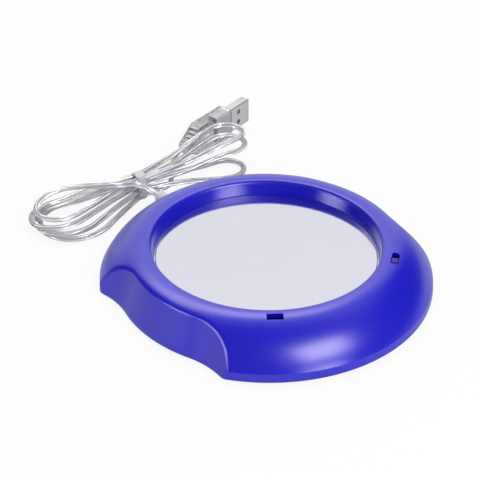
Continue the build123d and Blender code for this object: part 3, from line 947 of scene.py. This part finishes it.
    def build(self) -> None:
        """Makes the ring and the cover's screws."""
        mesh = cut(grid_mesh("domed_ring", self.shell_grid(), along=True), self.openings())
        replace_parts(add_piece("domed_ring", mesh, Slot.SHELL), "top_shell")
        one = self.screw.grid()
        for number, angle in enumerate(np.radians(self.screw_angles), 1):
            place = np.array([math.cos(angle), math.sin(angle), 0]) * self.screw_circle
            screw = add_piece(f"cover_screw_{number}", grid_mesh("screw", one + place), Slot.SCREW)
            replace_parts(screw, "cover_screws")


@dataclass
class HeatingStack:
    """Polished plate in the well; film, pad and clamp below it keep their CAD shape."""

    face_radius: float = 43.2
    flange_radius: float = 45.6
    top_z: float = 12.3
    bottom_z: float = 10.8
    edge_round: float = 0.35
    edge_points: int = 6
    edge_hold: float = 0.2
    edge_band: float = 1.0
    core_radius: float = 2.0
    columns: int = 240

    def build(self) -> None:
        """Makes the plate: its half section turned about Z, with a round along the face's edge."""
        turn = np.radians(np.linspace(0, 90, self.edge_points))
        centre = np.array([self.face_radius - self.edge_round, self.top_z - self.edge_round])
        edge = centre + self.edge_round * circle(turn)
        below = [(self.core_radius, self.bottom_z), (self.flange_radius - self.edge_hold, self.bottom_z),
                 (self.flange_radius, self.bottom_z), (self.flange_radius, LEDGE_Z),
                 (self.face_radius, LEDGE_Z)]
        inside = [(centre[0] - self.edge_hold, self.top_z), (centre[0] - self.edge_band, self.top_z),
                  (self.core_radius, self.top_z)]
        section = np.concatenate([below, edge, inside])
        mesh = grid_mesh("warm_plate", revolved(section, self.columns))
        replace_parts(add_piece("warm_plate", mesh, Slot.PLATE), "heating_plate")


def level_axes(turn: float) -> tuple[np.ndarray, np.ndarray]:
    """Level directions along a piece, turned from +X by an angle in degrees, and across it."""
    cosine, sine = math.cos(math.radians(turn)), math.sin(math.radians(turn))
    return np.array([cosine, sine, 0.0]), np.array([-sine, cosine, 0.0])


@dataclass
class Plug:
    """Flat plug: clear grip and folded metal mouth; tongue and contacts keep their CAD shape."""

    rear: Point = (36.2, 92.2, 7.75)
    turn: float = 11.5
    grip_size: Pair = (15.5, 8.0)
    grip_length: float = 33.0
    grip_round: float = 1.6
    grip_rows: tuple[float, ...] = (1.6, 9.8, 11.0, 12.2, 16.0, 20.0, 25.0, 29.0)
    rear_rows: tuple[Pair, ...] = ((0.0, 0.9), (0.15, 0.97), (0.5, 1.0))
    front_rows: tuple[Pair, ...] = ((1.2, 1.0), (0.6, 0.985), (0.2, 0.95), (0.0, 0.9))
    taper_length: float = 11.0
    tail_width: float = 5.2
    groove_places: tuple[float, ...] = (2.8, 5.2, 7.6)
    groove_floor: float = 0.5
    groove_mouth: float = 0.7
    groove_depth: float = 0.16
    mouth_size: Pair = (12.0, 4.5)
    mouth_length: float = 16.0
    mouth_root: float = 11.0
    mouth_round: float = 0.5
    skin: float = 0.35
    inner_round: float = 0.2
    lip_roll: float = 0.2
    lip_round: float = 0.42
    window: float = 2.2
    window_reach: float = 8.5
    window_offset: float = 2.6
    window_round: float = 0.1
    window_points: int = 2

    def placed(self, outline: np.ndarray, along: float) -> np.ndarray:
        """An outline set square to the plug.

        Args:
            outline: points up and across.
            along: distance from the plug's rear.

        Returns:
            Points in the shared frame.
        """
        axis, side = level_axes(self.turn)
        up = np.array([0.0, 0.0, 1.0])
        return np.array(self.rear) + axis * along + up * outline[:, :1] + side * outline[:, 1:]

    def grip(self) -> bpy.types.Object:
        """Rounded sections that widen from the grooved tail to the grip's full size, with soft ends.

        A section's size goes from the tail's to the grip's in proportion to its place on the taper, times
        its share at the soft ends, less groove_depth of it in a groove.

        Returns:
            The grip, first size up and second across.
        """
        ends = [*self.rear_rows, *((self.grip_length - place, share) for place, share in self.front_rows)]
        places, shares = zip(*ends)
        sides = (-self.groove_mouth, -self.groove_floor, self.groove_floor, self.groove_mouth)
        grooves = np.add.outer(np.array(self.groove_places), sides)
        stations = np.sort(np.concatenate([places, self.grip_rows, grooves.ravel()]))
        from_groove = np.abs(stations[:, None] - np.array(self.groove_places)).min(1)
        deep = from_groove < (self.groove_floor + self.groove_mouth) / 2
        soft = np.interp(stations, places, shares) - deep * self.groove_depth
        taper = np.clip(stations / self.taper_length, 0, 1)[:, None]
        sizes = (self.tail_width + (np.array(self.grip_size) - self.tail_width) * taper) * soft[:, None]
        rows = [self.placed(rounded_outline(*size, self.grip_round), along)
                for size, along in zip(sizes, stations)]
        piece = add_piece("plug_grip", grid_mesh("grip", np.stack(rows)), Slot.GRIP)
        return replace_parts(piece, "plug_overmould")

    def mouth(self) -> bpy.types.Object:
        """Thin folded sheet round the mouth, rooted in the clear grip, with two pairs of latch windows.

        Its section goes out along the outer outline, over the rolled lip and back along the inner one.

        Returns:
            The mouth.
        """
        width, depth = self.mouth_size
        outer = rounded_outline(width, depth, self.mouth_round)
        lip = rounded_outline(width - self.lip_roll, depth - self.lip_roll, self.lip_round)
        inner = rounded_outline(width - 2 * self.skin, depth - 2 * self.skin, self.inner_round)
        root, end = self.grip_length - self.mouth_root, self.grip_length + self.mouth_length
        rows = [self.placed(outline, along) for outline, along in (
            (outer, root), (outer, end - self.lip_roll), (lip, end), (inner, end), (inner, root))]
        latch, half = end - self.window_reach, self.window / 2
        cutters = []
        for side in (-1, 1):
            hole = rounded_outline(self.window, 4 * depth, self.window_round, self.window_points)
            hole = hole + (side * self.window_offset, 0)
            ends = [self.placed(hole, along) for along in (latch - half, latch + half)]
            cutters.append(grid_mesh("latch", np.stack(ends)))
        mesh = cut(grid_mesh("mouth", np.stack(rows), along=True), cutters)
        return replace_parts(add_piece("plug_mouth", mesh, Slot.PLUG), "plug_shell")

    def build(self, nodes: dict[str, bpy.types.Object]) -> list[bpy.types.Object]:
        """Makes the plug.

        Args:
            nodes: the CAD nodes.

        Returns:
            Its pieces, with the CAD nodes among them.
        """
        return [self.grip(), self.mouth(), nodes["plug_tongue"], nodes["plug_contacts"], nodes["cord_gland"]]


@dataclass(frozen=True)
class Loop:
    """One loop of the hank beyond its tie.

    Its two strands fan out from the waist to their offsets, and its end is most of an ellipse whose
    length is stretch times its half width.
    """

    back: float
    front: float
    reach: float
    stretch: float
    height: float


@dataclass
class Lead:
    """The clear lead: out of the back, tied up in a hank, and on to its plug; length is in metres."""

    plug: Plug = field(default_factory=Plug)
    plug_run: float = 4.8
    diameter: float = 2.4
    length: float = 0.87
    spline_steps: int = 7
    section_steps: int = 3
    hank_centre: Pair = (2.0, 81.5)
    hank_turn: float = -9.0
    level_low: float = 2.1
    level_step: float = 2.85
    waist: float = 1.45
    left_loops: tuple[Loop, ...] = (
        Loop(7.4, -10.8, 49.0, 1.1, 9.2), Loop(8.0, -12.6, 52.0, 1.2, 6.5), Loop(9.6, -15.4, 50.0, 1.1, 3.9),
        Loop(12.6, -17.4, 48.0, 1.0, 1.3))
    right_loops: tuple[Loop, ...] = (
        Loop(15.4, -0.8, 57.6, 1.05, 14.4), Loop(11.4, -5.2, 56.2, 1.05, 11.2),
        Loop(6.0, -10.0, 52.2, 1.05, 1.6))
    end_points: int = 9
    strand_places: tuple[float, ...] = (0.2, 0.46, 0.7, 0.88)
    settle_start: float = 0.35
    first_height: float = 12.6
    first_point: int = 3
    first_ramp: int = 6
    lead_route: tuple[Point, ...] = (
        (0.0, 66.0, 9.0), (0.0, 70.4, 9.0), (-0.9, 74.4, 10.0), (-4.6, 77.0, 11.6), (-9.8, 77.6, 13.0))
    lead_over: tuple[Point, ...] = ((-16.5, -3.6, 13.4), (-22.8, 1.6, 12.9))
    tail_route: tuple[Point, ...] = (
        (8.0, -1.45, 2.1), (12.6, -1.45, 2.1), (16.2, 0.8, 2.1), (18.6, 4.2, 2.1), (20.8, 8.0, 2.1),
        (23.6, 11.6, 4.3))
    conductor_radius: float = 0.53
    conductor_share: float = 0.96
    conductor_pitch: float = 85.0
    conductor_end: float = 17.0
    conductor_step: float = 1.1
    conductor_sides: int = 10
    tie_size: tuple[float, float, float] = (4.4, 6.5, 12.75)
    tie_round: float = 2.5
    tie_wall: float = 0.6
    tie_edge: float = 0.42

    def hank_place(self, points: np.ndarray) -> np.ndarray:
        """Puts points of the hank into the shared frame.

        Args:
            points: places along the hank, across it and up.

        Returns:
            The points in the shared frame.
        """
        along, across = level_axes(self.hank_turn)
        placed = np.array([*self.hank_centre, 0.0]) + points[..., :1] * along + points[..., 1:2] * across
        placed[..., 2] = points[..., 2]
        return placed

    def lobe(self, side: float, loop: Loop, heights: Pair) -> np.ndarray:
        """Control points of one loop, from its back strand round its end to its front strand.

        The end is an ellipse that starts and ends where the fanned strands meet it. Strands are straight
        from the waist, and go from the waist's height to the loop's by a smooth step.

        Args:
            side: 1 for a loop to the right, -1 for one to the left.
            loop: the loop.
            heights: at the waist behind and in front.

        Returns:
            Points along the hank, across it and up.
        """
        middle, half = (loop.back + loop.front) / 2, (loop.back - loop.front) / 2
        core = loop.reach - half * loop.stretch
        behind = math.atan2(loop.back - self.waist, core)
        ahead = math.atan2(-self.waist - loop.front, core)
        turn = np.linspace(math.pi / 2 + behind, -math.pi / 2 - ahead, self.end_points)
        end = np.stack([core + half * loop.stretch * np.cos(turn), middle + half * np.sin(turn),
                        np.full_like(turn, loop.height)], -1)
        share = np.array(self.strand_places)[:, None]
        settle = np.clip((share - self.settle_start) / (1 - self.settle_start), 0, 1)
        settle = settle * settle * (3 - 2 * settle)
        strands = []
        for offset, height, tip in ((self.waist, heights[0], end[0]), (-self.waist, heights[1], end[-1])):
            flat = np.array([0.0, offset]) * (1 - share) + tip[:2] * share
            strands.append(np.concatenate([flat, height + (loop.height - height) * settle], 1))
        return np.concatenate([strands[0], end, strands[1][::-1]]) * (side, 1.0, 1.0)

    def hank(self) -> np.ndarray:
        """Control points of the loops.

        Each turn goes round the left end, through the tie a level lower, and round the right end. The first
        loop starts where the lead comes over and comes down to its height evenly.

        Returns:
            Points along the hank, across it and up.
        """
        levels = self.level_low + self.level_step * np.arange(len(self.left_loops), -1.0, -1.0)
        turns = [np.array(self.lead_over)]
        for number, loop in enumerate(self.left_loops):
            upper, lower = levels[number : number + 2]
            left = self.lobe(-1.0, loop, (upper, lower))
            if number == 0:
                left = left[self.first_point :]
                left[: self.first_ramp, 2] = np.linspace(self.first_height, loop.height, self.first_ramp)
            turns += [left, [(0.0, -self.waist, lower)]]
            if number < len(self.right_loops):
                right = self.lobe(1.0, self.right_loops[number], (lower, lower))
                turns += [right[::-1], [(0.0, self.waist, lower)]]
        return np.concatenate(turns)

    def route(self) -> np.ndarray:
        """Control points of the whole lead, straight into the plug at its end.

        Returns:
            Points in millimetres.
        """
        rear, (axis, _) = np.array(self.plug.rear), level_axes(self.plug.turn)
        wound = self.hank_place(np.concatenate([self.hank(), self.tail_route]))
        return np.concatenate([self.lead_route, wound, [rear - axis * self.plug_run, rear]])

    def jacket(self) -> bpy.types.Object:
        """The lead's jacket: one spline on the route's points, with a round section.

        Returns:
            The jacket as a bare line, before its section is swept along it.
        """
        route = self.route() * MM
        curve = bpy.data.curves.new("clear_lead", "CURVE")
        curve.dimensions = "3D"
        spline = curve.splines.new("NURBS")
        spline.points.add(len(route) - 1)
        spline.points.foreach_set("co", np.column_stack([route, np.ones(len(route))]).ravel())
        spline.points.foreach_set("radius", np.full(len(route), self.diameter / 2 * MM))
        spline.order_u = 3
        spline.use_endpoint_u = True
        spline.resolution_u = self.spline_steps
        curve.bevel_resolution = self.section_steps
        curve.use_fill_caps = True
        curve.materials.append(FINISHES[Slot.CORD].material())
        piece = link("clear_lead", curve)
        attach(piece, BODY)
        return piece

    def inner_line(self, jacket: bpy.types.Object) -> np.ndarray:
        """The jacket's line, and on straight into the plug.

        Args:
            jacket: the lead's jacket as a bare line.

        Returns:
            Points in millimetres.
        """
        bpy.context.view_layer.update()
        line = bpy.data.meshes.new_from_object(jacket.evaluated_get(bpy.context.evaluated_depsgraph_get()))
        points = np.zeros(len(line.vertices) * 3)
        line.vertices.foreach_get("co", points)
        points = points.reshape(-1, 3) / MM
        ahead = (points[-1] - points[-2]) / np.linalg.norm(points[-1] - points[-2])
        return np.concatenate([points, [points[-1] + ahead * self.conductor_end]])

    def conductors(self, jacket: bpy.types.Object) -> list[bpy.types.Object]:
        """Two bare conductors laid round each other inside the jacket.

        The line is read evenly along its length. Each conductor's middle goes round it once in
        conductor_pitch, and its surface is a circle square to the line.

        Args:
            jacket: the lead's jacket as a bare line.

        Returns:
            The two conductors.
        """
        points = self.inner_line(jacket)
        run = np.concatenate([[0], np.cumsum(np.linalg.norm(np.diff(points, axis=0), axis=1))])
        LOG.info("conductors: %.1f mm long", run[-1])
        even = np.linspace(0, run[-1], int(run[-1] / self.conductor_step))
        middle = np.stack([np.interp(even, run, points[:, axis]) for axis in range(3)], -1)
        way = np.gradient(middle, axis=0)
        way /= np.linalg.norm(way, axis=1)[:, None]
        side = np.cross(way, (0.0, 0.0, 1.0))
        side /= np.linalg.norm(side, axis=1)[:, None]
        up = np.cross(side, way)
        ring = whole_turn(self.conductor_sides)[None, :, None]
        section = np.cos(ring) * side[:, None] + np.sin(ring) * up[:, None]
        pieces = []
        for number, start in enumerate((0.0, math.pi), 1):
            twist = (start + 2 * np.pi * even / self.conductor_pitch)[:, None]
            centre = middle + (np.cos(twist) * side + np.sin(twist) * up) * self.conductor_radius
            grid = centre[:, None] + section * (self.conductor_radius * self.conductor_share)
            mesh = grid_mesh("conductor", grid)
            pieces.append(add_piece(f"conductor_{number}", mesh, Slot.CORD, finish=CONDUCTOR))
        return pieces

    def tie(self) -> bpy.types.Object:
        """Clear band round the strands: a rounded outline across the hank, drawn along it, with a wall.

        Returns:
            The band.
        """
        along, across = level_axes(self.hank_turn)
        width, breadth, top = self.tie_size
        outer = rounded_outline(breadth, top, self.tie_round)
        inner = rounded_outline(breadth - 2 * self.tie_wall, top - 2 * self.tie_wall,
                                self.tie_round - self.tie_wall)
        rows = []
        for outline, place in ((inner, -0.5), (outer, -self.tie_edge), (outer, self.tie_edge), (inner, 0.5)):
            flat = np.array([*self.hank_centre, 0.0]) + across * outline[:, :1] + along * place * width
            rows.append(flat + np.array([0, 0, 1.0]) * (outline[:, 1:] + top / 2))
        piece = add_piece("clear_tie", grid_mesh("tie", np.stack(rows), along=True), Slot.TIE)
        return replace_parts(piece, "cord_tie")

    def build(self, nodes: dict[str, bpy.types.Object]) -> None:
        """Args:
            nodes: the CAD nodes.
        """
        plug_pieces = self.plug.build(nodes)
        jacket = self.jacket()
        inner = self.conductors(jacket)
        jacket.data.bevel_depth = 1.0
        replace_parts(jacket, "cord_lead", "cord_hank", "cord_tail")
        self.tie()
        LOG.info("clear_lead: %d control points", len(jacket.data.splines[0].points))


@dataclass
class CadNodes:
    """Pieces that keep their CAD shape and get a finish."""

    finishes: dict[str, Slot] = field(default_factory=lambda: {
        "base_cover": Slot.COVER, "feet": Slot.FOOT, "heater_element": Slot.FILM, "insulation_pad": Slot.FELT,
        "clamp_plate": Slot.CLAMP, "clamp_screws": Slot.SCREW, "control_board": Slot.BOARD,
        "board_screws": Slot.SCREW, "switch_frame": Slot.CLAMP, "switch_base": Slot.BLACK,
        "switch_pins": Slot.BRASS, "switch_slider": Slot.KNOB, "led_lens": Slot.LAMP, "led_leads": Slot.BRASS,
        "led_resistor": Slot.BLACK, "heater_wires": Slot.WIRE, "supply_wires": Slot.WIRE,
        "plug_tongue": Slot.TONGUE, "plug_contacts": Slot.BRASS})

    def dress(self, nodes: dict[str, bpy.types.Object]) -> None:
        """Gives each node its slot's material.

        Args:
            nodes: the CAD nodes.
        """
        finishes = {name: FINISHES[slot] for name, slot in self.finishes.items()} | {"cord_gland": GLAND}
        for name, finish in finishes.items():
            material = finish.material()
            for holder in nodes[name].material_slots:
                holder.material = material
            LOG.info("%s: %s", name, material.name)


@dataclass
class Softbox:
    """A rectangular studio lamp that faces the object, in metres."""

    name: str
    azimuth: float
    elevation: float
    size: Pair
    radiance: float
    distance: float = 1.0

    def build(self) -> None:
        """Adds the lamp; its power is the radiance times pi times its area."""
        lamp = bpy.data.lights.new(self.name, "AREA")
        lamp.shape = "RECTANGLE"
        lamp.size, lamp.size_y = self.size
        lamp.energy = self.radiance * math.pi * self.size[0] * self.size[1]
        light = link(self.name, lamp)
        light.location = sphere_point(self.azimuth, self.elevation) * self.distance
        light.rotation_euler = (-light.location).to_track_quat("-Z", "Y").to_euler()


def sphere_point(azimuth: float, elevation: float) -> Vector:
    """A unit vector at an azimuth from +X and an elevation, both in degrees."""
    turn, rise = math.radians(azimuth), math.radians(elevation)
    return Vector((math.cos(rise) * math.cos(turn), math.cos(rise) * math.sin(turn), math.sin(rise)))


@dataclass
class Studio:
    """Camera, floor, lamps and world, in metres."""

    camera_azimuth: float = 225.5
    camera_elevation: float = 35.0
    camera_distance: float = 0.45335
    camera_foot: float = 0.0012
    camera_sensor: float = 36.0
    camera_clip: float = 0.01
    focal_pixels: float = 1150.0
    picture_pixels: float = 480.0
    target_pixel: Pair = (266.46, 275.15)
    floor_half: float = 4.0
    softboxes: tuple[Softbox, ...] = (
        Softbox("front_right", 266.0, 37.5, (0.5, 0.38), 7.0),
        Softbox("back_top", 60.0, 55.0, (0.7, 0.34), 2.7))
    sky_diffuse: float = 0.8
    sky_dark: float = 0.02
    sky_clear: float = 0.8
    backdrop: float = 1.1
    backdrop_azimuth: float = 54.0
    backdrop_edge: Pair = (0.66, 0.9)
    overhead: float = 0.36
    overhead_slope: float = 1.4
    overhead_azimuth: float = 40.0
    overhead_edge: Pair = (0.6, 0.9)
    strips: tuple[Pair, ...] = ((158.0, 9.0), (262.0, 9.0))
    strip_edge: Pair = (0.97, 0.99)
    strip_foot: Pair = (0.06, 0.12)
    strip_top: Pair = (0.34, 0.24)
    level_least: float = 0.001
    floor_albedo: float = 0.9
    floor_glow: float = 0.88
    floor_gloss: float = 0.55
    floor_clear: float = 0.8

    def camera(self) -> None:
        """Adds the camera, level, aimed at what the photograph's middle pixel shows."""
        foot = Vector((0.0, 0.0, self.camera_foot))
        place = foot + sphere_point(self.camera_azimuth, self.camera_elevation) * self.camera_distance
        ahead = (foot - place).normalized()
        right = ahead.cross(Vector((0, 0, 1))).normalized()
        above = right.cross(ahead)
        middle = self.picture_pixels / 2
        aim = ahead + right * ((middle - self.target_pixel[0]) / self.focal_pixels)
        aim += above * ((self.target_pixel[1] - middle) / self.focal_pixels)
        lens = bpy.data.cameras.new("camera")
        lens.sensor_width = self.camera_sensor
        lens.lens = self.focal_pixels / self.picture_pixels * lens.sensor_width
        lens.clip_start = self.camera_clip
        camera = link("camera", lens)
        camera.location = place
        camera.rotation_euler = aim.to_track_quat("-Z", "Y").to_euler()
        bpy.context.scene.camera = camera

    def floor(self) -> None:
        """Adds a plain white floor that keeps the object's shadow.

        Rays from the camera, off a gloss or through clear material mostly see an even glow.
        """
        half = self.floor_half
        mesh = bpy.data.meshes.new("floor")
        mesh.from_pydata([(-half, -half, 0), (half, -half, 0), (half, half, 0), (-half, half, 0)], [],
                         [(0, 1, 2, 3)])
        material = bpy.data.materials.new("white_floor")
        material.use_nodes = True
        graph = Graph(material.node_tree)
        white = (self.floor_albedo, self.floor_albedo, self.floor_albedo, 1.0)
        plain = graph.make("ShaderNodeBsdfDiffuse", None, {"Color": white})
        camera, glossy, clear = graph.rays()
        direct = camera.at_least(glossy).at_least(clear)
        bright = 1.0 - glossy * (1.0 - self.floor_gloss) - clear * (1.0 - self.floor_clear)
        glow = graph.make("ShaderNodeEmission", None, {"Strength": bright})
        both = graph.make("ShaderNodeMixShader", None, {
            0: direct * self.floor_glow, 1: plain.outputs[0], 2: glow.outputs[0]})
        graph.make("ShaderNodeOutputMaterial", None, {"Surface": both.outputs[0]})
        mesh.materials.append(material)
        floor = link("floor", mesh)
        floor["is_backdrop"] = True

    @staticmethod
    def towards(x: Value, y: Value, azimuth: float) -> Value:
        """The part of a level direction that lies along an azimuth in degrees."""
        return x * math.cos(math.radians(azimuth)) + y * math.sin(math.radians(azimuth))

    def world(self) -> None:
        """White to the camera, even to dull surfaces, and to gloss what a studio would mirror.

        Gloss sees a white backdrop behind the object, narrow low strips at both sides, an overhead that
        gets lighter towards the back, and a dark room elsewhere. Clear material sees the same, but at
        least sky_clear.
        """
        world = bpy.data.worlds.new("studio")
        world.use_nodes = True
        graph = Graph(world.node_tree)
        direction = graph.make("ShaderNodeTexCoord").outputs["Generated"]
        split = graph.make("ShaderNodeSeparateXYZ", None, {0: direction})
        x, y, z = (Value(graph, socket) for socket in split.outputs)
        level = (x * x + y * y).root().at_least(self.level_least)
        behind = (self.towards(x, y, self.backdrop_azimuth) / level).rise(*self.backdrop_edge) * self.backdrop
        low = z.rise(*self.strip_foot) * z.rise(*self.strip_top)
        strip = sum((self.towards(x, y, azimuth) / level).rise(*self.strip_edge) * bright
                    for azimuth, bright in self.strips)
        above = self.towards(x, y, self.overhead_azimuth) * self.overhead_slope + self.overhead
        high = z.rise(*self.overhead_edge)
        gloss = above.at_least(0.0) * high + (behind + strip * low + self.sky_dark) * (1 - high)
        camera, glossy, clear = graph.rays()
        through = clear * gloss.at_least(self.sky_clear)
        mirrored = (1 - clear) * (glossy * gloss + (1 - glossy) * self.sky_diffuse)
        strength = camera + (1 - camera) * (through + mirrored)
        sky = graph.make("ShaderNodeBackground", None, {"Strength": strength})
        graph.make("ShaderNodeOutputWorld", None, {"Surface": sky.outputs[0]})
        bpy.context.scene.world = world

    def build(self) -> None:
        """Sets up the picture."""
        bpy.context.scene.view_settings.view_transform = "Standard"
        self.camera()
        self.floor()
        self.world()
        for softbox in self.softboxes:
            softbox.build()


def corners() -> list[list[float]]:
    """The two corners of the whole object's box as plain numbers."""
    return [[float(part) for part in corner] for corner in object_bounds()]


def main() -> None:
    """Builds every sub-assembly in order."""
    logging.basicConfig(level=logging.INFO, format="%(name)s %(message)s")
    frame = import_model()
    Studio().build()
    Lead().build(frame["nodes"])
    Housing().build()
    HeatingStack().build()
    CadNodes().dress(frame["nodes"])


if __name__ == "__main__":
    main()
